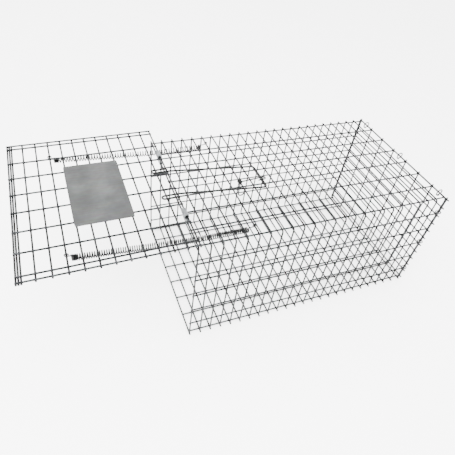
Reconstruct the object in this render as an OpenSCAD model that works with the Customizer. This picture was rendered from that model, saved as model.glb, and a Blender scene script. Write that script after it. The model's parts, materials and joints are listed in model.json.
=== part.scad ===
// Live catch trap: a welded-mesh cage with a sprung drop door, set open.
// Origin: on the ground, at the middle of the footprint. +X runs from the door end to the back,
// +Y to the far side, +Z up.

/* [Mesh] */
// Diameter of the mesh wire
wire_d = 1.8; // [1.5:0.1:2]
// Spacing of the cross wires, the short side of a cell
pitch = 12.7; // [12.5:0.1:13]
// Spacing of the long wires, the long side of a cell
cell = 25.4; // [25:0.1:26]
// How far the wires are pressed into each other at a weld
weld_sink = 0.2; // [0.15:0.05:0.25]

/* [Cage] */
// Short cells along the cage
length_cells = 24; // [20:1:28]
// Long cells across the cage
width_cells = 7; // [7:1:9]
// Height from the middle of the floor wires to the middle of the top wires
cage_h = 144.3; // [143:0.1:146]
// Radius of the rounded mesh corners, to the middle of the wire
corner_r = 3; // [2.5:0.5:4]
// How far the cross wires of the floor and the back stand out past the walls
stub = 3; // [2:0.5:4]
// How far the cross wires of the top stand out past the far wall
top_stub = 1; // [1:0.5:3]

/* [Door] */
// Height of the middle of the hinge loops above the top wires
hinge_rise = 8.7; // [8.7:0.1:9.3]
// How far the hinge loops stand in front of the first cage wires
hinge_out = 1.6; // [1.6:0.1:2.2]
// How far the rod lies to the side of, and above, the middle of its loose hinge loops
loop_play = 0.65; // [0.5:0.05:0.7]
// How far the open door hangs below level, in degrees
droop = 1; // [0:0.5:2]
// Mesh margin outside the last long wire on each side
margin = 7.4; // [7:0.1:8]
// Diameter of the hinge rod and the side rods
rod_d = 1.8; // [1.6:0.1:2]

/* [Label plate] */
// Width of the plate across the door
plate_w = 90; // [80:1:96]
// Thickness of the plate
plate_t = 0.8; // [0.6:0.1:1]

/* [Setting arm] */
// Diameter of the arm rod
arm_d = 2; // [1.8:0.1:2.2]
// Distance between the middles of the two legs
arm_w = 38; // [36:1:40]
// Sideways place of the middle of the arm
arm_y = -3.8; // [-4.2:0.1:-3.4]
// Distance from the front of the cage to the cross bar of the arm
arm_reach = 101.6; // [100:0.2:103]

/* [Trigger] */
// Diameter of the trigger wire
trigger_d = 1.6; // [1.4:0.1:1.8]
// Sideways place of the trigger
trigger_y = -6.6; // [-7:0.1:-6]
// How far the bait hook hangs below the top wires
bait_drop = 22; // [18:1:40]

/* [Springs] */
// Outer diameter of a spring coil
coil_d = 6.4; // [6:0.1:6.6]
// Diameter of the spring wire
spring_wire_d = 1; // [0.8:0.1:1.1]
// Distance of a spring's cage hook from the side wall
spring_inset = 14.8; // [13.8:0.2:16]
// How far the far spring turns in towards the middle of the door, in degrees
far_skew = 1.5; // [0:0.5:2]

/* [Hinge clips] */
// Width of a hinge clip
clip_w = 11; // [10:0.5:12]
// Sheet thickness of a hinge clip
clip_t = 0.8; // [0.7:0.1:0.9]
// Distance of a clip from the middle of the trap
clip_y = 49.5; // [48:0.5:52]

/* [Rings] */
// Diameter of the clinched ring wire
ring_wire_d = 1.4; // [1.2:0.1:1.4]

/* [Hidden] */
$fn = 24;
gap = 0.1;
snug = 0.15;
run_gap = 0.08;
wire_r = wire_d / 2;
rod_r = rod_d / 2;
ring_wire_r = ring_wire_d / 2;
layer = wire_d - weld_sink;
cage_l = length_cells * pitch;
cage_w = width_cells * cell;
near_y = -cage_w / 2;
far_y = cage_w / 2;
floor_z = wire_r;
top_z = floor_z + cage_h;
end_stub = wire_r + gap;
wall_end = cage_h - wire_r - gap;
side_rows = floor(cage_h / cell);

hinge_x = -hinge_out;
hinge_z = top_z + hinge_rise;
door_cells = 12;
first_cut = 1.2;
door_l = door_cells * pitch - first_cut;
end_rod_gap = 0.25;
end_rod_step = wire_d + end_rod_gap;
door_end = door_l + end_rod_step + end_stub;
door_half = cage_w / 2 + margin;
side_rod_in = 1.2;
side_rod_y = door_half - side_rod_in;

back_x = cage_l + end_stub + wire_r + gap;
back_rows = floor(cage_h / pitch);
back_low = floor_z + (cage_h - back_rows * pitch) / 2;
top_ring_at = [(cage_l + back_x + layer) / 2, (top_z + back_low + back_rows * pitch) / 2];
top_ring_r = 4;
side_ring_r = 2.9;

// Place [x, z] of a point s out along the door and h above its wires
function on_door_point(s, h) = [
    hinge_x + (loop_play - s) * cos(droop) - (loop_play + h) * sin(droop),
    hinge_z + (loop_play - s) * sin(droop) + (loop_play + h) * cos(droop)];

front_end = on_door_point(door_end, layer + wire_r)[0];
back_end = top_ring_at[0] + top_ring_r + ring_wire_r;
origin_x = -(front_end + back_end) / 2;

coil_r = coil_d / 2;
spring_wire_r = spring_wire_d / 2;
spring_y = far_y - spring_inset;
hook_r = wire_r + spring_wire_r + snug;
hook_sweep = 280;
shank_in = 2;
cage_hook = [5 * pitch, top_z];
door_hook_s = 9 * pitch - first_cut;
door_hook = on_door_point(door_hook_s, 0);
coil_clearance = 0.4;
coil_gap = wire_r + coil_r + coil_clearance;
door_hook_l = 8.9;
coil_front = [door_hook[0] + door_hook_l, door_hook[1] - coil_gap];
coil_rise = (coil_front[1] - top_z + coil_gap) / coil_front[0];
coil_back_x = cage_hook[0] - pitch / 2;
coil_back = [coil_back_x, top_z - coil_gap + coil_rise * coil_back_x];

touch_gap = 0.05;
on_door_z = rod_r + arm_d / 2 + touch_gap;
bar = [arm_reach, top_z + wire_r + arm_d / 2 + snug];
knee_out = 2;
knee_swell = 0.1;
knee = on_door_point(-knee_out, on_door_z);
leg_run = bar - knee;
leg_l = norm(leg_run);
arm_tilt = -atan2(leg_run[1], leg_run[0]);
arm_eye_r = 2.3;
arm_eye_l = pitch + 1.5;
arm_corner_r = 4;

pivot_x = 6 * pitch;
pivot_bore_r = wire_r + run_gap;
trigger_r = trigger_d / 2;
coil_eye_w = 4.2;
catch_from = [pivot_x, top_z + pivot_bore_r + trigger_r];
catch_overhang = 1.2;
catch_clearance = 0.35;
catch_to = bar + [catch_overhang, arm_d / 2 + trigger_r + catch_clearance];
catch_tilt = atan2(catch_to[1] - catch_from[1], catch_to[0] - catch_from[0]);
catch_loop_r = 1.9;
catch_loop_l = 9;
hook_bend_r = 3.5;
hook_tip = 4;

module placed() {
    translate([origin_x, 0, 0]) children();
}

// Door pieces are drawn level, with the hinge rod along Y through their origin
module on_door() {
    placed() translate([hinge_x, 0, hinge_z]) rotate([0, -droop, 0])
        translate([loop_play, 0, loop_play]) children();
}

module wire_x(x, len, d = wire_d) {
    translate([x, 0, 0]) rotate([0, 90, 0]) cylinder(d = d, h = len);
}

module wire_y(y, len, d = wire_d) {
    translate([0, y, 0]) rotate([-90, 0, 0]) cylinder(d = d, h = len);
}

// A straight rod between two points [x, z] of the plane y = 0
module rod_xz(a, b, d) {
    run = b - a;
    translate([a[0], 0, a[1]]) rotate([0, 90 - atan2(run[1], run[0]), 0])
        cylinder(d = d, h = norm(run));
}

// Bent round wire in the XY plane: centre line radius r, from angle a0 over sweep degrees
module bend(r, d, a0 = 0, sweep = 360) {
    rotate([0, 0, a0]) rotate_extrude(angle = sweep) translate([r, 0]) circle(d = d);
}

// The same bend standing in the XZ plane; angles run from +X towards +Z
module bend_xz(r, d, a0 = 0, sweep = 360) {
    rotate([90, 0, 0]) bend(r, d, a0, sweep);
}

// The same bend standing in the YZ plane; angles run from +Y towards +Z
module bend_yz(r, d, a0 = 0, sweep = 360) {
    rotate([90, 0, 90]) bend(r, d, a0, sweep);
}

// Long wires of a cage panel, one at each [y, z] place
module long_wires(places) {
    for (p = places) translate([0, p[0], p[1]]) wire_x(-end_stub, cage_l + 2 * end_stub);
}

module cross_wires(y0, y1) {
    for (i = [0 : length_cells]) translate([i * pitch, 0, 0]) wire_y(y0, y1 - y0);
}

// The near wall, standing on its rounded corner at z = 0; rows are the heights of its long wires
module side_wall(rows) {
    for (i = [0 : length_cells]) translate([i * pitch, near_y, corner_r]) {
        cylinder(d = wire_d, h = wall_end - corner_r);
        translate([0, corner_r, 0]) bend_yz(corner_r, wire_d, 180, 90);
    }
    long_wires([for (z = rows) [near_y + layer, z]]);
}

// Cross wires and long wires of the floor or the top, short of the rounded corner at the near side;
// the last long wire at the far side is welded to the uprights of the wall there
module flat_panel(out) {
    cross_wires(near_y + corner_r, far_y + out);
    long_wires([for (k = [1 : width_cells - 1]) [near_y + k * cell, -layer]]);
    long_wires([[near_y + corner_r + 1, -layer], [far_y - layer, -layer]]);
}

module floor_mesh() color("gray") placed() {
    translate([0, 0, floor_z]) rotate([180, 0, 0]) flat_panel(stub);
}

module far_side_mesh() color("gray") placed() {
    rows = [for (k = [1 : side_rows]) cage_h - k * cell];
    translate([0, 0, floor_z]) mirror([0, 1, 0]) side_wall(rows);
}

module top_mesh() color("darkgray") placed() {
    translate([0, 0, top_z]) flat_panel(top_stub);
}

module near_side_mesh() color("darkgray") placed() {
    rows = [for (k = [1 : side_rows]) k * cell];
    translate([0, 0, top_z]) mirror([0, 0, 1]) side_wall(rows);
}

module back_mesh() color("slategray") placed() {
    for (k = [0 : width_cells])
        translate([back_x, near_y + k * cell, 0]) cylinder(d = wire_d, h = top_z + stub / 2);
    for (j = [0 : back_rows])
        translate([back_x + layer, 0, back_low + j * pitch]) wire_y(near_y - stub, cage_w + 2 * stub);
}

// Clinched rings bent almost closed round the last cross wire of the top and the highest of the back
module back_top_rings() color("silver") placed() {
    for (k = [0.5, 3.5, 6.5]) translate([top_ring_at[0], near_y + k * cell, top_ring_at[1]])
        bend_xz(top_ring_r, ring_wire_d, 200, 340);
}

// Clinched rings round the upright wires at one back corner
module back_side_rings(y, heights, open_at) {
    for (h = heights) translate([(cage_l + back_x) / 2, y, back_low + h * pitch])
        bend(side_ring_r, ring_wire_d, open_at, 340);
}

module back_near_rings() color("silver") placed() {
    back_side_rings(near_y, [1.5, 5.5, 9.5], 60);
}

module back_far_rings() color("silver") placed() {
    back_side_rings(far_y, [1.5, 5.5, 9.5], 280);
}

// Sheet clip: a close eye round the first top wire and a loose loop round the hinge rod
module hinge_clip() {
    lower_r = wire_r + gap;
    upper_r = norm([loop_play, loop_play]) + rod_r + run_gap;
    translate([0, clip_w / 2, top_z]) rotate([90, 0, 0]) linear_extrude(clip_w) difference() {
        union() {
            circle(r = lower_r + clip_t);
            translate([-hinge_out, hinge_rise]) circle(r = upper_r + clip_t);
            rotate(atan2(hinge_out, hinge_rise)) translate([-clip_t, 0])
                square([2 * clip_t, norm([hinge_out, hinge_rise])]);
        }
        circle(r = lower_r);
        translate([-hinge_out, hinge_rise]) circle(r = upper_r);
    }
}

module hinge_clip_near() color("dimgray") placed() {
    translate([0, -clip_y, 0]) hinge_clip();
}

module hinge_clip_far() color("dimgray") placed() {
    translate([0, clip_y, 0]) hinge_clip();
}

module hinge_rod() color("silver") on_door() {
    wire_y(-door_half, 2 * door_half, rod_d);
}

module door_mesh() color("lightgray") on_door() {
    for (i = [1 : door_cells])
        translate([first_cut - i * pitch, 0, 0]) wire_y(-door_half, 2 * door_half);
    for (k = [0 : width_cells])
        translate([0, near_y + k * cell, layer]) wire_x(-door_end, door_end + rod_r);
}

module door_side_rods() color("lightgray") on_door() {
    for (side = [-1, 1]) translate([0, side * side_rod_y, wire_r + rod_r - weld_sink])
        wire_x(-door_end, door_end + rod_r, rod_d);
}

module door_end_rods() color("lightgray") on_door() {
    for (side = [-1, 1])
        translate([-door_l + side * end_rod_step, 0, 0]) wire_y(-door_half, 2 * door_half);
}

// Plate on the long wires, held by tabs folded under two cross wires
module label_plate() color("gray") on_door() {
    first = 4 * pitch - first_cut;
    last = 8 * pitch - first_cut;
    half = (last - first) / 2;
    over = wire_r + gap + plate_t;
    top = layer + wire_r + touch_gap + plate_t;
    low = -over;
    tab_w = 8;
    tab_in = 2;
    translate([-(first + last) / 2, 0, 0]) {
        translate([-half - over, -plate_w / 2, top - plate_t]) cube([2 * (half + over), plate_w, plate_t]);
        for (y = [-cell, cell], side = [-1, 1]) translate([0, y - tab_w / 2, 0]) scale([side, 1, 1]) {
            translate([half + over - plate_t, 0, low]) cube([plate_t, tab_w, top - low]);
            translate([half - tab_in, 0, low]) cube([tab_in + over, tab_w, plate_t]);
        }
    }
}

// U-shaped rod: flat eyes welded on the door, legs reaching back over the top of the cage
module setting_arm() color("dimgray") {
    for (side = [-1, 1]) on_door() translate([0, arm_y + side * arm_w / 2, on_door_z]) {
        wire_x(-arm_eye_l, arm_eye_l + knee_out, arm_d);
        translate([-arm_eye_l, side * arm_eye_r, 0]) bend(arm_eye_r, arm_d, 90, 180);
        translate([0, side * 2 * arm_eye_r, 0]) wire_x(-arm_eye_l, arm_eye_l, arm_d);
    }
    placed() translate([knee[0], arm_y, knee[1]]) rotate([0, arm_tilt, 0]) translate([leg_l, 0, 0]) {
        wire_y(arm_corner_r - arm_w / 2, arm_w - 2 * arm_corner_r, arm_d);
        for (side = [-1, 1]) {
            translate([-arm_corner_r, side * (arm_w / 2 - arm_corner_r), 0])
                bend(arm_corner_r, arm_d, side > 0 ? 0 : 270, 90);
            translate([0, side * arm_w / 2, 0]) {
                wire_x(-leg_l, leg_l - arm_corner_r, arm_d);
                translate([-leg_l, 0, 0]) sphere(d = arm_d + knee_swell);
            }
        }
    }
}

// Straight end of the spring wire and its hook round a mesh wire at [x, z]
module spring_end(start, wire_at) {
    run = wire_at - start;
    shank_l = sqrt(run * run - hook_r * hook_r);
    tilt = atan2(run[1], abs(run[0])) - atan2(hook_r, shank_l);
    translate([wire_at[0], 0, wire_at[1]]) scale([sign(run[0]), 1, 1]) rotate([0, -tilt, 0]) {
        translate([0, 0, -hook_r]) wire_x(-shank_l, shank_l, spring_wire_d);
        bend_xz(hook_r, spring_wire_d, 270, hook_sweep);
    }
}

// Extension spring: a tube of the coil's size, with a hooked end at each wire
module spring() {
    top_of_coil = [0, coil_r - spring_wire_r];
    difference() {
        rod_xz(coil_front, coil_back, coil_d);
        rod_xz(2 * coil_front - coil_back, 2 * coil_back - coil_front, coil_d - 2 * spring_wire_d);
    }
    spring_end(coil_front + top_of_coil + [shank_in, 0], door_hook);
    spring_end(coil_back + top_of_coil - [shank_in, 0], cage_hook);
}

module spring_near() color("darkslategray") placed() {
    translate([0, -spring_y, 0]) spring();
}

module spring_far() color("darkslategray") placed() {
    translate([cage_hook[0], spring_y, 0]) rotate([0, 0, far_skew]) translate([-cage_hook[0], 0, 0]) spring();
}

// Two turns of wire round a top wire
module coil_eye(w) {
    translate([pivot_x, 0, top_z]) rotate([-90, 0, 0]) difference() {
        cylinder(r = pivot_bore_r + trigger_d, h = w);
        translate([0, 0, -1]) cylinder(r = pivot_bore_r, h = w + 2);
    }
}

// Catch: a coil eye and an arm with a looped end, which lies over the cross bar of the setting arm
module trigger_catch() color("dimgray") placed() {
    reach = norm(catch_to - catch_from);
    translate([0, trigger_y - coil_eye_w / 2, 0]) coil_eye(coil_eye_w);
    translate([catch_from[0], trigger_y, catch_from[1]]) rotate([0, -catch_tilt, 0]) {
        wire_x(0, reach, trigger_d);
        translate([reach, -catch_loop_r, 0]) bend(catch_loop_r, trigger_d, 270, 180);
        translate([0, -2 * catch_loop_r, 0]) wire_x(reach - catch_loop_l, catch_loop_l, trigger_d);
    }
}

// Bait hook: an eye beside the catch's, a straight rod and a turned-up end
module bait_hook() color("dimgray") placed() {
    rod_x = pivot_x + pivot_bore_r + trigger_r;
    low_z = top_z - bait_drop + hook_bend_r;
    translate([0, trigger_y + coil_eye_w / 2, 0]) {
        coil_eye(trigger_d);
        translate([0, trigger_r, 0]) {
            rod_xz([rod_x, top_z], [rod_x, low_z], trigger_d);
            translate([rod_x + hook_bend_r, 0, low_z]) bend_xz(hook_bend_r, trigger_d, 180, 180);
            rod_xz([rod_x + 2 * hook_bend_r, low_z], [rod_x + 2 * hook_bend_r, low_z + hook_tip], trigger_d);
        }
    }
}

floor_mesh();
far_side_mesh();
top_mesh();
near_side_mesh();
back_mesh();
back_top_rings();
back_near_rings();
back_far_rings();
hinge_clip_near();
hinge_clip_far();
hinge_rod();
door_mesh();
door_side_rods();
door_end_rods();
label_plate();
setting_arm();
spring_near();
spring_far();
trigger_catch();
bait_hook();
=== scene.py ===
import json
import math
import random

import bmesh
import bpy
from mathutils import Matrix, Vector


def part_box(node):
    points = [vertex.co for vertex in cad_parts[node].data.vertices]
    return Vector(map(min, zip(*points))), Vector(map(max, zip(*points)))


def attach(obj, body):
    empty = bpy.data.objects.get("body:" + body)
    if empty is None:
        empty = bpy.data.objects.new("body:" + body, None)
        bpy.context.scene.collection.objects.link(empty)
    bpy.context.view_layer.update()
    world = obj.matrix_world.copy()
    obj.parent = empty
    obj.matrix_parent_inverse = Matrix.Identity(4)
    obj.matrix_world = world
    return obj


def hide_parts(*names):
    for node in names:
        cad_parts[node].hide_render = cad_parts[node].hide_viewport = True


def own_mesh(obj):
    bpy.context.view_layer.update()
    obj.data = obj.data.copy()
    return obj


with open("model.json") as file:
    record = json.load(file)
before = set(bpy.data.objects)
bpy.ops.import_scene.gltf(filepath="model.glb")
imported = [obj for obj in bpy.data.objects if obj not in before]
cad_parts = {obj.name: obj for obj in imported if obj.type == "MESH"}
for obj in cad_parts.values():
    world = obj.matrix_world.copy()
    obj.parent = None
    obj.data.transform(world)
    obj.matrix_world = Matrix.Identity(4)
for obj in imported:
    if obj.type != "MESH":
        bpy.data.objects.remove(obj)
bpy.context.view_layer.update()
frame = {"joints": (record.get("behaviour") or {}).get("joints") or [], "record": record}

mm = 0.001
scene = bpy.context.scene
chance = random.Random(12)

# the welded mesh; the places below follow from it and from the frame
mesh = {
    "wire": 1.8 * mm,  # diameter of the mesh wire
    "weldSink": 0.2 * mm,  # how far two wires are pressed into each other
    "pitch": 12.7 * mm,  # short side of a cell
    "cell": 25.4 * mm,  # long side of a cell
    "corner": 3.0 * mm,  # radius of the bent sheet corners
    "topStub": 1.0 * mm,  # the top's cross wires stand out past the far wall
    "floorStub": 3.0 * mm,  # the floor's cross wires stand out past the near wall
    "endStub": 1.0 * mm,  # long wires stand out past the last cross wire
    "waviness": 0.14 * mm,  # how far a wire strays from a straight line
    "cutStray": 0.5 * mm,  # how much shorter than the rest a wire may be cut
}
wireR = mesh["wire"] / 2
layer = mesh["wire"] - mesh["weldSink"]
topLow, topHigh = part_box("top_mesh")
frontX, rearX = topLow.x + mesh["endStub"], topHigh.x - mesh["endStub"]
topZ = topHigh.z - wireR
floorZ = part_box("floor_mesh")[0].z + wireR
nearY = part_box("near_side_mesh")[0].y + wireR
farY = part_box("far_side_mesh")[1].y - wireR
backLow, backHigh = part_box("back_mesh")
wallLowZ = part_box("near_side_mesh")[0].z
lengthCells = round((rearX - frontX) / mesh["pitch"])
widthCells = round((farY - nearY) / mesh["cell"])

jointAt = {j["name"]: Vector(j["pos_m"]) for j in frame["joints"]}
hinge = jointAt["door_hinge"]
plateAxis = Vector(next(m for m in frame["record"]["mounts"] if m["name"] == "label_face")["axis"])
droop = math.asin(-plateAxis.x)
play = 0.65 * mm  # how far the hinge rod lies to the back of, and above, the middle of its loops
tilted = Matrix.Rotation(-droop, 4, "Y")
doorPlace = Matrix.Translation(hinge) @ tilted @ Matrix.Translation((play, 0, play))
doorLow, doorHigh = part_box("door_mesh")
doorHalf = doorHigh.y
endHigh = (play + layer + wireR) * math.sin(droop)
doorLength = play + (hinge.x - doorLow.x - endHigh) / math.cos(droop)
rodR = (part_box("hinge_rod")[1].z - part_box("hinge_rod")[0].z) / 2
firstCut = 1.2 * mm  # the door's first cell is this much shorter than the rest
doorCells = 12
crossAt = [i * mesh["pitch"] - firstCut for i in range(1, doorCells + 1)]
rowYs = [nearY + k * mesh["cell"] for k in range(widthCells + 1)]


def newShape():
    return {"verts": [], "faces": [], "finish": []}


def addRing(shape, centre, side, up, radius, sides):
    # a ring of points in the plane of side and up; gives back their numbers
    first = len(shape["verts"])
    for k in range(sides):
        turn = 2 * math.pi * k / sides
        shape["verts"].append(centre + (side * math.cos(turn) + up * math.sin(turn)) * radius)
    return list(range(first, first + sides))


def addFace(shape, corners, finish=0):
    shape["faces"].append(corners)
    shape["finish"].append(finish)


def addWire(shape, path, radius, sides=10):
    # a round wire swept along the path, with sheared ends whose rims are slightly rolled
    path = [Vector(p) for p in path]
    last = len(path) - 1
    tangents = [(path[min(i + 1, last)] - path[max(i - 1, 0)]).normalized() for i in range(last + 1)]
    side = tangents[0].orthogonal().normalized()
    rim = radius * 0.2
    rings = [addRing(shape, path[0], side, tangents[0].cross(side), radius - rim, sides)]
    for i, point in enumerate(path):
        side = (side - tangents[i] * side.dot(tangents[i])).normalized()
        up = tangents[i].cross(side)
        inward = rim if i == 0 else -rim if i == last else 0
        rings.append(addRing(shape, point + tangents[i] * inward, side, up, radius, sides))
    rings.append(addRing(shape, path[last], side, tangents[last].cross(side), radius - rim, sides))
    for a, b in zip(rings, rings[1:]):
        for k in range(sides):
            n = (k + 1) % sides
            addFace(shape, [a[k], a[n], b[n], b[k]])
    addFace(shape, rings[0][::-1])
    addFace(shape, rings[-1])


def addWeld(shape, centre, size, finish=1):
    # the squeezed nugget between two welded wires: a flattened ball of the given half sizes
    centre, rows, sides = Vector(centre), 5, 8
    first = len(shape["verts"])
    for row in range(1, rows):
        tilt = math.pi * row / rows
        for k in range(sides):
            turn = 2 * math.pi * k / sides
            ball = (math.sin(tilt) * math.cos(turn), math.sin(tilt) * math.sin(turn), math.cos(tilt))
            shape["verts"].append(centre + Vector(b * s for b, s in zip(ball, size)))
    shape["verts"] += [centre + Vector((0, 0, size[2])), centre - Vector((0, 0, size[2]))]
    top = first + (rows - 1) * sides
    for k in range(sides):
        n = (k + 1) % sides
        addFace(shape, [top, first + k, first + n], finish)
        low = first + (rows - 2) * sides
        addFace(shape, [top + 1, low + n, low + k], finish)
        for row in range(rows - 2):
            a = first + row * sides
            addFace(shape, [a + k, a + sides + k, a + sides + n, a + n], finish)


def addStrip(shape, path, width, thickness):
    # sheet metal bent along a path that lies in a plane of constant y; the width runs along y
    path = [Vector(p) for p in path]
    last = len(path) - 1
    rings = []
    for i, point in enumerate(path):
        along = (path[min(i + 1, last)] - path[max(i - 1, 0)]).normalized()
        out = Vector((-along.z, 0, along.x)) * thickness / 2
        half = Vector((0, width / 2, 0))
        first = len(shape["verts"])
        shape["verts"] += [point + out + half, point + out - half, point - out - half, point - out + half]
        rings.append([first, first + 1, first + 2, first + 3])
    for a, b in zip(rings, rings[1:]):
        for k in range(4):
            n = (k + 1) % 4
            addFace(shape, [a[k], a[n], b[n], b[k]])
    addFace(shape, rings[0][::-1])
    addFace(shape, rings[-1])


def straight(start, end, step=6.35 * mm, stray=0.0, lift=0.0):
    # points from start to end; stray bows the wire a little along x and y, and lift along z
    start, end = Vector(start), Vector(end)
    count = max(2, round((end - start).length / step))
    bow = Vector((chance.uniform(-stray, stray), chance.uniform(-stray, stray),
                  chance.uniform(-lift, lift)))
    run = (end - start).normalized()
    bow -= run * bow.dot(run)
    waves = chance.choice((1, 2, 3))
    return [start.lerp(end, i / count) + bow * math.sin(math.pi * waves * i / count)
            for i in range(count + 1)]


def bent(corners, radius, step=6.35 * mm, arcStep=math.radians(12)):
    # a wire through the corners, each one rounded to the radius, or to its own where radius is a list
    corners = [Vector(c) for c in corners]
    radii = radius if isinstance(radius, (list, tuple)) else [radius] * (len(corners) - 2)
    points = [corners[0]]
    for i in range(1, len(corners) - 1):
        before = (corners[i] - corners[i - 1]).normalized()
        after = (corners[i + 1] - corners[i]).normalized()
        turn = before.angle(after)
        cut = radii[i - 1] * math.tan(turn / 2)
        start = corners[i] - before * cut
        normal = (after - before * after.dot(before)).normalized()
        centre = start + normal * radii[i - 1]
        points += straight(points[-1], start, step)[1:]
        steps = max(2, round(turn / arcStep))
        for k in range(1, steps + 1):
            a = turn * k / steps
            points.append(centre + (before * math.sin(a) - normal * math.cos(a)) * radii[i - 1])
    return points + straight(points[-1], corners[-1], step)[1:]


def arc(centre, u, v, radius, fromDegrees, toDegrees, advance=(0, 0, 0), stepDegrees=14):
    # points round centre in the plane of u and v, moving on by advance over the whole sweep
    steps = max(2, round(abs(toDegrees - fromDegrees) / stepDegrees))
    centre, u, v, advance = Vector(centre), Vector(u), Vector(v), Vector(advance)
    points = []
    for k in range(steps + 1):
        a = math.radians(fromDegrees + (toDegrees - fromDegrees) * k / steps)
        points.append(centre + (u * math.cos(a) + v * math.sin(a)) * radius + advance * k / steps)
    return points


sharpEdge = math.radians(38)  # edges that turn more than this stay crisp


def makePiece(name, shape, body, finishes, nodes=(), place=None):
    # a mesh object from the shape, riding its body in the stead of the CAD nodes
    data = bpy.data.meshes.new(name)
    data.from_pydata([tuple(v) for v in shape["verts"]], [], shape["faces"])
    for finish in finishes:
        data.materials.append(finish)
    data.polygons.foreach_set("material_index", shape["finish"])
    if place is not None:
        data.transform(place)
    skin = bmesh.new()
    skin.from_mesh(data)
    bmesh.ops.recalc_face_normals(skin, faces=skin.faces)
    skin.to_mesh(data)
    skin.free()
    data.polygons.foreach_set("use_smooth", [True] * len(data.polygons))
    data.set_sharp_from_angle(angle=sharpEdge)
    piece = bpy.data.objects.new(name, data)
    scene.collection.objects.link(piece)
    if nodes:
        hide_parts(*nodes)
    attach(piece, body)
    print(f"made {name}: {len(data.polygons)} faces")
    return piece


def hexColour(code):
    # an sRGB hex value as linear colour
    parts = [int(code[i:i + 2], 16) / 255 for i in (1, 3, 5)]
    return [c / 12.92 if c <= 0.04045 else ((c + 0.055) / 1.055) ** 2.4 for c in parts] + [1.0]


def addNode(tree, kind, settings=None, **links):
    # links are values or other nodes' outputs, by the input's name with _ for a space
    node = tree.nodes.new(kind)
    for key, value in (settings or {}).items():
        setattr(node, key, value)
    for key, value in links.items():
        socket = node.inputs[key.replace("_", " ")]
        if isinstance(value, bpy.types.NodeSocket):
            tree.links.new(value, socket)
        else:
            socket.default_value = value
    return node


def setRamp(node, stops):
    ramp = node.color_ramp
    while len(ramp.elements) < len(stops):
        ramp.elements.new(0.5)
    for element, (place, colour) in zip(ramp.elements, stops):
        element.position = place
        element.color = colour


metal = {
    "tintAt": (0.36, 0.52, 0.68),  # where the dark, body and light tints sit in the cloudy patches
    "glossFrom": (0.3, 0.7),  # the part of the grain that moves the gloss
    "reliefDepth": 0.25,  # height of the relief, as a share of the grain
}


def metalFinish(name, look):
    # a metal with cloudy patches, grain in its gloss and a slight relief; the grain of real zinc and
    # drawn wire is finer, so it is drawn as coarse as it needs to show
    material = bpy.data.materials.new(name)
    material.use_nodes = True
    tree = material.node_tree
    shader = tree.nodes["Principled BSDF"]
    shader.inputs["Metallic"].default_value = 1.0
    place = addNode(tree, "ShaderNodeTexCoord").outputs["Object"]
    stretched = addNode(tree, "ShaderNodeMapping", Vector=place, Scale=look.get("stretch", (1, 1, 1)))
    cloud = addNode(tree, "ShaderNodeTexNoise", Vector=place, Scale=1 / look["patch"],
                    Detail=3.0, Roughness=0.6)
    grain = addNode(tree, "ShaderNodeTexNoise", Vector=stretched.outputs["Vector"],
                    Scale=1 / look["grain"], Detail=2.0, Roughness=0.55)
    tint = addNode(tree, "ShaderNodeValToRGB", Fac=cloud.outputs["Fac"])
    tints = [hexColour(look[key]) for key in ("dark", "body", "light")]
    setRamp(tint, list(zip(metal["tintAt"], tints)))
    fleck = addNode(tree, "ShaderNodeMixRGB", {"blend_type": "MULTIPLY"}, Fac=look["fleck"],
                    Color1=tint.outputs["Color"], Color2=grain.outputs["Color"])
    lifted = addNode(tree, "ShaderNodeMapRange", Value=grain.outputs["Fac"],
                     From_Min=metal["glossFrom"][0], From_Max=metal["glossFrom"][1],
                     To_Min=look["gloss"][0], To_Max=look["gloss"][1])
    relief = addNode(tree, "ShaderNodeBump", Height=grain.outputs["Fac"], Strength=look["relief"],
                     Distance=look["grain"] * metal["reliefDepth"])
    tree.links.new(fleck.outputs["Color"], shader.inputs["Base Color"])
    tree.links.new(lifted.outputs["Result"], shader.inputs["Roughness"])
    tree.links.new(relief.outputs["Normal"], shader.inputs["Normal"])
    return material


# all the tints below are darker than the real metals', to suit the very bright sky

# low-carbon steel wire, hot-dip galvanised after welding: dull blue-grey, cloudy, softly pitted
galvanisedWire = metalFinish("galvanised_mesh_wire", {
    "dark": "#18191a", "body": "#242526", "light": "#37393a", "patch": 9 * mm, "grain": 0.7 * mm,
    "fleck": 0.35, "gloss": (0.34, 0.58), "relief": 0.35})
# weld nugget under the same zinc: darker and rougher than the wire
weldZinc = metalFinish("zinc_over_weld", {
    "dark": "#131414", "body": "#1d1e1e", "light": "#2b2c2d", "patch": 2 * mm, "grain": 0.5 * mm,
    "fleck": 0.4, "gloss": (0.5, 0.75), "relief": 0.6})
# cold-drawn rod with a thin zinc flash: darker and tighter in its gloss than the mesh
drawnRod = metalFinish("drawn_rod_zinc_flash", {
    "dark": "#151616", "body": "#1f2020", "light": "#303131", "patch": 14 * mm, "grain": 0.5 * mm,
    "fleck": 0.25, "gloss": (0.26, 0.44), "relief": 0.2})
# hard-drawn spring wire: dark, smooth, with a satin shine
springWire = metalFinish("hard_drawn_spring_wire", {
    "dark": "#101111", "body": "#181919", "light": "#262727", "patch": 5 * mm, "grain": 0.3 * mm,
    "fleck": 0.2, "gloss": (0.24, 0.38), "relief": 0.12})
# galvanised clinching-ring wire: fresher zinc, so a little lighter
ringWire = metalFinish("galvanised_ring_wire", {
    "dark": "#2a2b2c", "body": "#393b3c", "light": "#4f5152", "patch": 4 * mm, "grain": 0.5 * mm,
    "fleck": 0.3, "gloss": (0.3, 0.5), "relief": 0.3})
# zinc plated clip sheet: pale, with a faint streaky grain
clipSheet = metalFinish("zinc_plated_clip_sheet", {
    "dark": "#56585a", "body": "#6c6e70", "light": "#828486", "patch": 5 * mm, "grain": 0.6 * mm,
    "fleck": 0.3, "gloss": (0.3, 0.48), "relief": 0.3, "stretch": (1, 0.2, 1)})
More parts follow.
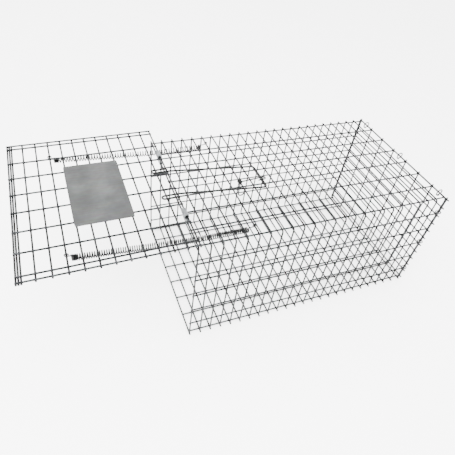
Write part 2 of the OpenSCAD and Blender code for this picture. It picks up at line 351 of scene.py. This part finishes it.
# plain rolled zinc-coated plate: flat grey with faint streaks along the rolling direction
rolledPlate = metalFinish("rolled_zinc_plate", {
    "dark": "#414242", "body": "#4b4c4c", "light": "#585959", "patch": 34 * mm, "grain": 1.1 * mm,
    "fleck": 0.34, "gloss": (0.42, 0.62), "relief": 0.12, "stretch": (0.06, 1, 1)})
print("made the finishes")


# cage: two bent sheets and a back panel
cage = {
    "topRows": [mesh["cell"] * k for k in range(1, widthCells)],
    "wallRows": [mesh["cell"] * k for k in range(1, 6)],  # a wall's long wires, down from the top
    "cornerRow": 4.0 * mm,  # first long wire beside the bent corner
    "backRows": 12,
    "backFoot": 0.05 * mm,  # the back panel's uprights end this far above the foot of its CAD box
    "backCutStray": 0.3 * mm,
    "weld": (1.25 * mm, 1.25 * mm, 0.55 * mm),  # half sizes of a nugget lying flat
}


def weldAt(shape, x, y, z, upright):
    wide, _, thin = cage["weld"]
    wide *= chance.uniform(0.9, 1.1)
    addWeld(shape, (x, y, z), (wide, thin, wide) if upright else (wide, wide, thin))


def bentSheet(wallRows, stub):
    # one welded sheet bent over a long edge: the flat part at topZ and the wall hanging at nearY
    shape = newShape()
    flatRows = [nearY + r for r in cage["topRows"]] + [nearY + cage["cornerRow"], farY - layer]
    wallZ = [topZ - r for r in wallRows]
    xs = [frontX + i * mesh["pitch"] for i in range(lengthCells + 1)]
    for x in xs:
        lean = chance.uniform(-1, 1) * mesh["waviness"]
        farEnd = farY + stub - chance.uniform(0, mesh["cutStray"])
        corners = [(x + lean, farEnd, topZ), (x, nearY, topZ), (x - lean, nearY, wallLowZ)]
        addWire(shape, bent(corners, mesh["corner"]), wireR)
    for y in flatRows:
        addWire(shape, longWire(y, topZ - layer), wireR)
    for z in wallZ:
        addWire(shape, longWire(nearY + layer, z), wireR)
    for x in xs:
        for y in flatRows:
            weldAt(shape, x, y, topZ - layer / 2, False)
        for z in wallZ:
            weldAt(shape, x, nearY + layer / 2, z, True)
        weldAt(shape, x, farY - layer / 2, topZ - layer, True)
    return shape


def longWire(y, z):
    ends = [mesh["endStub"] - chance.uniform(0, mesh["cutStray"]) for _ in range(2)]
    return straight((frontX - ends[0], y, z), (rearX + ends[1], y, z), stray=mesh["waviness"] / 2)


makePiece("top_and_near_wall_sheet", bentSheet(cage["wallRows"], mesh["topStub"]), "cage",
          [galvanisedWire, weldZinc], ["top_mesh", "near_side_mesh"])
turnedRows = [topZ - floorZ - r for r in cage["wallRows"]]
turnedOver = Matrix.Translation((0, 0, topZ + floorZ)) @ Matrix.Rotation(math.pi, 4, "X")
makePiece("floor_and_far_wall_sheet", bentSheet(turnedRows, mesh["floorStub"]), "cage",
          [galvanisedWire, weldZinc], ["floor_mesh", "far_side_mesh"], turnedOver)


def backPanel():
    shape = newShape()
    uprightX, crossX = backLow.x + wireR, backHigh.x - wireR
    lowRow = floorZ + (topZ - floorZ - (cage["backRows"] - 1) * mesh["pitch"]) / 2
    wide, _, thin = cage["weld"]
    for y in rowYs:
        highEnd = backHigh.z - chance.uniform(0, cage["backCutStray"])
        path = straight((uprightX, y, backLow.z + cage["backFoot"]), (uprightX, y, highEnd),
                        stray=mesh["waviness"])
        addWire(shape, path, wireR)
    for j in range(cage["backRows"]):
        z = lowRow + j * mesh["pitch"]
        nearEnd = backLow.y + chance.uniform(0, mesh["cutStray"])
        farEnd = backHigh.y - chance.uniform(0, mesh["cutStray"])
        path = straight((crossX, nearEnd, z), (crossX, farEnd, z), lift=mesh["waviness"])
        addWire(shape, path, wireR)
        for y in rowYs:
            addWeld(shape, (uprightX + layer / 2, y, z), (thin, wide, wide))
    return shape


makePiece("back_panel_mesh", backPanel(), "cage", [galvanisedWire, weldZinc],
          ["back_mesh"])


# rings clinched round the wires at the back panel's edges
rings = {
    "wire": 1.4 * mm,
    "sideRadius": 2.9 * mm,
    "topRadius": 4.0 * mm,
    "overlap": 36,  # degrees by which the two ends pass each other
    "side": 1.35 * mm,  # how far the ends lie beside each other
    "topCells": (0.5, 3.5, 6.5),  # cells from the near wall to each ring along the top
    "openAt": {"top": 250, "near": 60, "far": 300},  # degrees, where the ends meet
    "turned": 25,  # degrees by which a ring may be turned from there
}


def ringPath(centre, u, v, radius, openAt):
    across = Vector(u).cross(Vector(v)) * rings["side"]
    start = openAt - rings["overlap"] / 2
    return arc(Vector(centre) - across / 2, u, v, radius, start, start + 360 + rings["overlap"], across)


def ringSet(name, node, centres, u, v, radius, openAt):
    shape = newShape()
    for centre in centres:
        turned = chance.uniform(-rings["turned"], rings["turned"])
        addWire(shape, ringPath(centre, u, v, radius, openAt + turned), rings["wire"] / 2)
    makePiece(name, shape, "cage", [ringWire], [node])


def middleOf(node):
    low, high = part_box(node)
    return (low + high) / 2


middle = middleOf("back_top_rings")
topRingYs = [nearY + k * mesh["cell"] for k in rings["topCells"]]
ringSet("back_top_clinch_rings", "back_top_rings", [(middle.x, y, middle.z) for y in topRingYs],
        (1, 0, 0), (0, 0, 1), rings["topRadius"], rings["openAt"]["top"])
for which in ("near", "far"):
    node = f"back_{which}_rings"
    low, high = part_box(node)
    middle = middleOf(node)
    lowRing = low.z + rings["wire"] / 2
    highRing = high.z - rings["wire"] / 2
    centres = [(middle.x, middle.y, z) for z in (lowRing, (lowRing + highRing) / 2, highRing)]
    ringSet(f"back_{which}_clinch_rings", node, centres, (1, 0, 0), (0, 1, 0), rings["sideRadius"],
            rings["openAt"][which])


# sheet clips that the door hangs in
clip = {
    "sheet": 0.8 * mm,
    "looseBore": play * math.sqrt(2) + rodR + 0.08 * mm,  # radius round the hinge rod
    "closeBore": wireR + 0.1 * mm,  # radius round the first top wire
    "looseArc": (126, 414),  # degrees, 90 pointing to the other bore
    "closeArc": (-40, 220),
    "neckAt": 0.36,  # where the two layers meet and part, from the loose bore to the close one
    "waistAt": 0.75,
    "endsAt": (0.5, 0.45),  # where the strip's two ends meet, from neck to waist
    "layerGap": 0.04 * mm,
}


def hingeClip(name, node):
    # a strip folded round the first top wire and loosely round the hinge rod, its two layers
    # lying together in between
    low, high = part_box(node)
    y, width, t = (low.y + high.y) / 2, high.y - low.y, clip["sheet"]
    upper, lower = Vector((hinge.x, y, hinge.z)), Vector((frontX, y, topZ))
    down = (lower - upper).normalized()
    side = Vector((-down.z, 0, down.x))
    pinch = side * (t + clip["layerGap"]) / 2
    neck, waist = upper.lerp(lower, clip["neckAt"]), upper.lerp(lower, clip["waistAt"])
    path = [neck.lerp(waist, clip["endsAt"][0]) + pinch, waist + pinch]
    path += arc(lower, side, down, clip["closeBore"] + t / 2, *clip["closeArc"])
    path += [waist - pinch, neck - pinch]
    path += arc(upper, side, down, clip["looseBore"] + t / 2, *clip["looseArc"])
    path += [neck + pinch, neck.lerp(waist, clip["endsAt"][1]) + pinch]
    shape = newShape()
    addStrip(shape, path, width, t)
    makePiece(name, shape, "cage", [clipSheet], [node])


hingeClip("near_hinge_clip_sheet", "hinge_clip_near")
hingeClip("far_hinge_clip_sheet", "hinge_clip_far")


shape = newShape()
addWire(shape, straight((0, -doorHalf, 0), (0, doorHalf, 0)), rodR, sides=12)
makePiece("door_hinge_rod", shape, "door", [galvanisedWire], ["hinge_rod"], doorPlace)


# door: a flat mesh panel with a rod along each side and two more at its free end
door = {
    "acrossStray": 0.4 * mm,  # how much shorter a cross wire may be at each end
    "alongStray": (0.1 * mm, 0.5 * mm),  # least and most that a long wire ends short of the door
    "sideRodIn": 1.2 * mm,  # from the ends of the cross wires
    "sideRodShort": 0.2 * mm,  # the side rods end this far short of the door
    "endRodStep": 2.05 * mm,  # from the last cross wire, to both sides
}


def wireAcross(x):
    ends = [doorHalf - chance.uniform(0, 1) * door["acrossStray"] for _ in range(2)]
    return straight((x, -ends[0], 0), (x, ends[1], 0), stray=mesh["waviness"])


def doorPanel():
    shape = newShape()
    for s in crossAt:
        addWire(shape, wireAcross(-s), wireR)
    for y in rowYs:
        end = doorLength - chance.uniform(*door["alongStray"])
        along = straight((-end, y, layer), (rodR, y, layer), stray=mesh["waviness"])
        addWire(shape, along, wireR)
        for s in crossAt:
            addWeld(shape, (-s, y, layer / 2), cage["weld"])
    return shape


makePiece("door_mesh_panel", doorPanel(), "door", [galvanisedWire, weldZinc],
          ["door_mesh"], doorPlace)

shape = newShape()
sideRodZ = wireR + rodR - mesh["weldSink"]
for side in (-1, 1):
    y = side * (doorHalf - door["sideRodIn"])
    freeEnd = -doorLength + door["sideRodShort"]
    along = straight((freeEnd, y, sideRodZ), (rodR, y, sideRodZ), stray=mesh["waviness"])
    addWire(shape, along, rodR)
    for s in crossAt:
        addWeld(shape, (-s, y, sideRodZ / 2), cage["weld"])
makePiece("door_side_rod_pair", shape, "door", [galvanisedWire, weldZinc],
          ["door_side_rods"], doorPlace)

shape = newShape()
for side in (-1, 1):
    x = -crossAt[-1] + side * door["endRodStep"]
    addWire(shape, wireAcross(x), wireR)
    for y in rowYs:
        addWeld(shape, (x, y, layer / 2), (wireR, *cage["weld"][1:]))
makePiece("door_end_rod_pair", shape, "door", [galvanisedWire, weldZinc],
          ["door_end_rods"], doorPlace)


# plain plate on the door, held by tabs folded under two cross wires
plate = {
    "between": (3, 7),  # the cross wires it reaches between, where 0 is the nearest to the hinge
    "thickness": 0.8 * mm,
    "cornerRadius": 1.6 * mm,
    "warp": 0.02 * mm,
    "tabWidth": 8 * mm,
    "tabIn": 2 * mm,
    "tabBend": 0.7 * mm,
    "tabLap": 1.5 * mm,  # a tab's strip starts this far inside the plate's edge
    "tabSink": 0.02 * mm,
    "overhang": wireR + 0.1 * mm,  # past a cross wire's middle, to the inside of a tab
    "lift": layer + wireR + 0.05 * mm,  # above the cross wires' middle
    "columns": 36,
    "rows": 24,
}


def labelPlate():
    shape = newShape()
    t, halfWidth = plate["thickness"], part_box("label_plate")[1].y
    first, last = (crossAt[i] for i in plate["between"])
    over = plate["overhang"] + t
    midX, halfX = -(first + last) / 2, (last - first) / 2 + over
    zTop = plate["lift"] + t
    columns, rows = plate["columns"], plate["rows"]
    sheets = []
    for z in (zTop, zTop - t):
        start = len(shape["verts"])
        for j in range(rows + 1):
            for i in range(columns + 1):
                u, v = 2 * i / columns - 1, 2 * j / rows - 1
                x, y = u * halfX, v * halfWidth
                cornerX, cornerY = halfX - plate["cornerRadius"], halfWidth - plate["cornerRadius"]
                dx, dy = max(0, abs(x) - cornerX), max(0, abs(y) - cornerY)
                if dx > 0 and dy > 0:
                    # in a corner, squares round the corner's centre become circles
                    scale = max(dx, dy) / math.hypot(dx, dy)
                    x = math.copysign(cornerX + dx * scale, x)
                    y = math.copysign(cornerY + dy * scale, y)
                shape["verts"].append(Vector((midX + x, y, z - plate["warp"] * (u * u + v * v))))
        sheets.append(start)
    for start, flip in ((sheets[0], False), (sheets[1], True)):
        for j in range(rows):
            for i in range(columns):
                a = start + j * (columns + 1) + i
                quad = [a, a + 1, a + columns + 2, a + columns + 1]
                addFace(shape, quad[::-1] if flip else quad)
    edge = [i for i in range(columns)] + [columns + j * (columns + 1) for j in range(rows)]
    edge += [rows * (columns + 1) + i for i in range(columns, 0, -1)]
    edge += [j * (columns + 1) for j in range(rows, 0, -1)]
    for a, b in zip(edge, edge[1:] + edge[:1]):
        addFace(shape, [sheets[0] + a, sheets[1] + a, sheets[1] + b, sheets[0] + b])
    for y in (-mesh["cell"], mesh["cell"]):
        for side in (-1, 1):
            xOut = midX + side * (halfX - t / 2)
            zLow = -over + t / 2
            zHigh = zTop - t / 2 - plate["tabSink"]
            corners = [(xOut - side * plate["tabLap"], y, zHigh), (xOut, y, zHigh), (xOut, y, zLow),
                       (xOut - side * (plate["tabIn"] + over - t), y, zLow)]
            addStrip(shape, bent(corners, plate["tabBend"], step=2 * mm), plate["tabWidth"], t)
    return shape


makePiece("plain_label_plate", labelPlate(), "door", [rolledPlate], ["label_plate"],
          doorPlace)


# setting arm: one rod, from an eye on the door back over the cage, across, and back to the other eye
arm = {
    "rod": 2.0 * mm,
    "eyeRadius": 2.3 * mm,
    "eyeLength": 14.2 * mm,
    "cornerRadius": 4 * mm,
    "kneeRadius": 14 * mm,
    "kneeOut": 2 * mm,  # the knee stands this far behind the hinge rod
    "touchGap": 0.05 * mm,
    "bendStep": math.radians(9),
    "weld": (1.5 * mm, 1.1 * mm, 0.7 * mm),
    "weldRise": 0.1 * mm,
}
almost = 0.999  # keeps two bends that meet from running into each other


def settingArm():
    low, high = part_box("setting_arm")
    r = arm["rod"] / 2
    eye = arm["eyeRadius"]
    outer = 2 * eye + r
    legs = {-1: low.y + outer, 1: high.y - outer}
    lift = rodR + r + arm["touchGap"]
    barAt = Vector((high.x - r, 0, low.z + r))
    shape = newShape()
    path = []
    for side in (-1, 1):
        y = legs[side]
        out = y + side * 2 * eye
        onDoor = [(0, out), (-arm["eyeLength"] - eye, out), (-arm["eyeLength"] - eye, y),
                  (arm["kneeOut"], y)]
        end = [doorPlace @ Vector((x, across, lift)) for x, across in onDoor]
        end.append(Vector((barAt.x, y, barAt.z)))
        path += end if side < 0 else end[::-1]
    half = [eye * almost, eye * almost, arm["kneeRadius"], arm["cornerRadius"]]
    radii = half + half[::-1]
    addWire(shape, bent(path, radii, arcStep=arm["bendStep"]), r, sides=14)
    for side in (-1, 1):
        for y in (legs[side], legs[side] + side * 2 * eye):
            for s, tall in ((0, rodR), (crossAt[0], wireR)):
                at = doorPlace @ Vector((-s, y, tall + arm["weldRise"]))
                addWeld(shape, at, arm["weld"])
    return shape


makePiece("setting_arm_rod", settingArm(), "door", [drawnRod, weldZinc], ["setting_arm"])


# springs
spring = {
    "wire": 1.15 * mm,
    "outside": 6.4 * mm,
    "hookedOn": 8,  # the door's cross wire it holds, where 0 is the nearest to the hinge
    "below": 0.4 * mm,  # clearance under the top's cross wires
    "hookLength": 3.6 * mm,  # from the door wire to the coil
    "closeTurns": (4, 2),  # touching turns at the door end and at the cage end
    "openTurns": {"near": 78, "far": 56},
    "skew": {"near": 0, "far": 1.5},  # degrees
    "hookGap": 0.15 * mm,
    "hookSweep": 278,  # degrees
    "hookLead": 0.6 * mm,
    "closePitch": 1.04,  # pitch of the touching turns, in wires
    "easing": 5 * mm,  # how softly the coil bends up at the front of the cage
    "lead": 1.2 * mm,  # straight wire before it eases into the first turn
    "easeTurn": 0.14,  # share of a turn taken by that easing
    "overrun": 1 / 6,  # the easing's corner lies this share of lead past the top of the turn
    "shank": 2 * mm,
    "stepsPerTurn": 16,
    "sample": 0.001,  # share of the coil over which its direction is taken
}
hookR = wireR + spring["wire"] / 2 + spring["hookGap"]
coilR = (spring["outside"] - spring["wire"]) / 2


def springPlaces(which):
    # middles of the cage wire and the door wire the spring hooks on
    cageWire = jointAt[f"{which}_spring_hook"].copy()
    doorWire = doorPlace @ Vector((-crossAt[spring["hookedOn"]], 0, 0))
    doorWire.y = cageWire.y + (doorWire.x - cageWire.x) * math.tan(math.radians(spring["skew"][which]))
    return cageWire, doorWire


def coilAxis(cageWire, doorWire):
    # a function giving the middle of the coil: level below the top wires, then rising to the door
    gap = wireR + spring["outside"] / 2 + spring["below"]
    front = doorWire.x + spring["hookLength"]
    back = cageWire.x - mesh["pitch"] / 2
    rise = (doorWire.z - topZ) / (frontX - front)

    def middle(share):
        x = front + (back - front) * share
        out = frontX - x
        out = (out + math.hypot(out, spring["easing"])) / 2
        y = doorWire.y + (cageWire.y - doorWire.y) * (x - doorWire.x) / (cageWire.x - doorWire.x)
        return Vector((x, y, topZ - gap + rise * out))

    return middle


def tangentEnd(start, wireAt):
    # where a straight wire from start touches the underside of the hook, and the angle it arrives at
    run = wireAt - start
    facing = 1 if run.x > 0 else -1
    tilt = math.atan2(run.z, abs(run.x)) - math.asin(hookR / math.hypot(run.x, run.z))
    under = Vector((facing * math.sin(tilt), 0, -math.cos(tilt))) * hookR
    return wireAt + under, tilt, facing


def hookShape(start, wireAt):
    end, tilt, facing = tangentEnd(start, wireAt)
    first = 270 + math.degrees(tilt)
    path = arc(wireAt, (facing, 0, 0), (0, 0, 1), hookR, first, first + spring["hookSweep"])
    lead = (end - start).normalized() * spring["hookLead"]
    shape = newShape()
    addWire(shape, [end - lead] + path, spring["wire"] / 2)
    return shape


def coilShape(middle, openTurns, doorWire, cageWire):
    length = (middle(1) - middle(0)).length
    first, last = spring["closeTurns"]
    turns = openTurns + first + last
    close = spring["wire"] * spring["closePitch"] / length
    openShare = 1 - (first + last) * close

    def along(turn):
        if turn < first:
            return turn * close
        if turn > turns - last:
            return 1 - (turns - turn) * close
        return first * close + (turn - first) * openShare / openTurns

    def coilPoint(turn):
        share, a = along(turn), 2 * math.pi * turn
        ahead = (middle(share + spring["sample"]) - middle(share)).normalized()
        side = Vector((0, 1, 0))
        return middle(share) + (side.cross(ahead) * -math.cos(a) + side * math.sin(a)) * coilR

    def easeIn(outer, corner, inner):
        steps = (0.2, 0.4, 0.6, 0.8)
        return [outer.lerp(corner, t).lerp(corner.lerp(inner, t), t) for t in steps]

    ahead = (middle(1) - middle(0)).normalized()
    frontTop, backTop = coilPoint(0), coilPoint(turns)
    lead, shank = ahead * spring["lead"], ahead * spring["shank"]
    overrun = lead * spring["overrun"]
    doorEnd = tangentEnd(frontTop + shank, doorWire)[0]
    cageEnd = tangentEnd(backTop - shank, cageWire)[0]
    path = straight(doorEnd, frontTop - lead)
    firstTurn, lastTurn = spring["easeTurn"], turns - spring["easeTurn"]
    path += easeIn(frontTop - lead, frontTop + overrun, coilPoint(firstTurn))
    steps = round((lastTurn - firstTurn) * spring["stepsPerTurn"])
    path += [coilPoint(firstTurn + (lastTurn - firstTurn) * k / steps) for k in range(steps + 1)]
    path += easeIn(coilPoint(lastTurn), backTop - overrun, backTop + lead)
    path += straight(backTop + lead, cageEnd)
    shape = newShape()
    addWire(shape, path, spring["wire"] / 2, sides=8)
    return shape


for which in ("near", "far"):
    node, joint, body = f"spring_{which}", f"{which}_spring_hook", f"{which}_spring"
    cageWire, doorWire = springPlaces(which)
    middle = coilAxis(cageWire, doorWire)
    coil = makePiece(f"{which}_spring_coil",
                     coilShape(middle, spring["openTurns"][which], doorWire, cageWire), body,
                     [springWire], [node])
    makePiece(f"{which}_spring_cage_hook", hookShape(middle(1) + Vector((0, 0, coilR)), cageWire), body,
              [springWire], [node])
    makePiece(f"{which}_spring_door_hook", hookShape(middle(0) + Vector((0, 0, coilR)), doorWire), "door",
              [springWire])
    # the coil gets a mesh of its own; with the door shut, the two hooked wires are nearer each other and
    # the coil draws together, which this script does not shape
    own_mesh(coil)


# trigger: the catch and the bait hook, which turn together on a top wire
trigger = {
    "wire": 1.6 * mm,
    "bore": 0.98 * mm,
    "eyeWidth": 4.2 * mm,
    "eyeTurns": 1.5,
    "loopRadius": 1.9 * mm,
    "loopLength": 9 * mm,
    "hookEyeArc": (-250, 90),  # degrees from the top of the wire
    "hookRadius": 3.5 * mm,
    "hookTip": 4 * mm,
    "start": 0.5 * mm,  # straight wire between the catch's eye and its leg
    "weld": (1.1 * mm, 0.9 * mm, 0.8 * mm),
    "weldAt": (0.7, 0.9),  # towards the back and up, in radii of the eye
}
pivot = jointAt["trigger_pivot"]


def triggerCatch():
    r = trigger["wire"] / 2
    eyeR = trigger["bore"] + r
    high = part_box("trigger_catch")[1]
    startY = pivot.y - trigger["eyeWidth"] / 2 + r
    endY = startY + trigger["eyeWidth"] - 2 * r
    path = arc((pivot.x, endY, pivot.z), (0, 0, 1), (1, 0, 0), eyeR, -360 * trigger["eyeTurns"], 0,
               (0, startY - endY, 0))
    armY = path[-1].y
    tipZ = high.z - r
    tip = Vector((high.x - r, armY, tipZ))
    back = armY - 2 * trigger["loopRadius"]
    lean = (tip - path[-1]).normalized()
    turned = Vector((tip.x, back, tip.z))
    corners = [path[-1] + lean * trigger["start"], tip, turned, turned - lean * trigger["loopLength"]]
    path += bent(corners, trigger["loopRadius"] * almost, step=3 * mm)
    shape = newShape()
    addWire(shape, path, r, sides=12)
    return shape


def baitHook():
    r = trigger["wire"] / 2
    eyeR = trigger["bore"] + r
    low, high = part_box("bait_hook")
    y = high.y - r
    rodX = pivot.x + eyeR
    bendZ = low.z + r + trigger["hookRadius"]
    path = arc((pivot.x, y, pivot.z), (0, 0, 1), (1, 0, 0), eyeR, *trigger["hookEyeArc"])
    path += straight(path[-1], (rodX, y, bendZ), step=4 * mm)[1:]
    bend = trigger["hookRadius"]
    path += arc((rodX + bend, y, bendZ), (1, 0, 0), (0, 0, 1), bend, 180, 360)[1:]
    path += straight(path[-1], path[-1] + Vector((0, 0, trigger["hookTip"])), step=2 * mm)[1:]
    shape = newShape()
    addWire(shape, path, r, sides=12)
    backward, upward = trigger["weldAt"]
    weldPlace = (pivot.x + eyeR * backward, pivot.y + trigger["eyeWidth"] / 2, pivot.z + eyeR * upward)
    addWeld(shape, weldPlace, trigger["weld"])
    return shape


makePiece("trigger_catch_wire", triggerCatch(), "trigger", [drawnRod], ["trigger_catch"])
makePiece("bait_hook_wire", baitHook(), "trigger", [drawnRod, weldZinc], ["bait_hook"])


# studio: a white paper floor, an even white sky and one soft light
studio = {
    "floorHalf": 6.0,
    "floorColour": "#ffffff",
    "floorRoughness": 0.9,
    "floorSpecular": 0.1,
    "sky": 5.4,
    "keyPower": 95.0,
    "keySize": 1.2,
    "keyAt": (-0.5, -0.7, 1.4),
}

floorMesh = bpy.data.meshes.new("studio_floor")
half = studio["floorHalf"]
floorCorners = [(-half, -half, 0), (half, -half, 0), (half, half, 0), (-half, half, 0)]
floorMesh.from_pydata(floorCorners, [], [(0, 1, 2, 3)])
studioFloor = bpy.data.objects.new("studio_floor", floorMesh)
scene.collection.objects.link(studioFloor)
paper = bpy.data.materials.new("matt_white_paper")
paper.use_nodes = True
paperShader = paper.node_tree.nodes["Principled BSDF"]
paperShader.inputs["Base Color"].default_value = hexColour(studio["floorColour"])
paperShader.inputs["Roughness"].default_value = studio["floorRoughness"]
paperShader.inputs["Specular IOR Level"].default_value = studio["floorSpecular"]
floorMesh.materials.append(paper)

world = bpy.data.worlds.new("studio_sky")
world.use_nodes = True
skyLight = world.node_tree.nodes["Background"]
skyLight.inputs["Color"].default_value = (1, 1, 1, 1)
skyLight.inputs["Strength"].default_value = studio["sky"]
scene.world = world

keyData = bpy.data.lights.new("soft_key", "AREA")
keyData.energy = studio["keyPower"]
keyData.size = studio["keySize"]
keyLight = bpy.data.objects.new("soft_key", keyData)
keyLight.location = studio["keyAt"]
keyLight.rotation_euler = (-Vector(studio["keyAt"])).to_track_quat("-Z", "Y").to_euler()
scene.collection.objects.link(keyLight)

camera = {
    "at": (-0.18627, -0.33909, 0.43633),
    "turn": (45.938, -7.032, -21.445),  # degrees about x, y and z
    "lens": 33.98,
    "sensor": 36,
}
cameraData = bpy.data.cameras.new("view_camera")
cameraData.lens = camera["lens"]
cameraData.sensor_width = camera["sensor"]
viewCamera = bpy.data.objects.new("view_camera", cameraData)
viewCamera.location = camera["at"]
viewCamera.rotation_euler = [math.radians(a) for a in camera["turn"]]
scene.collection.objects.link(viewCamera)
scene.camera = viewCamera
print("made the studio")
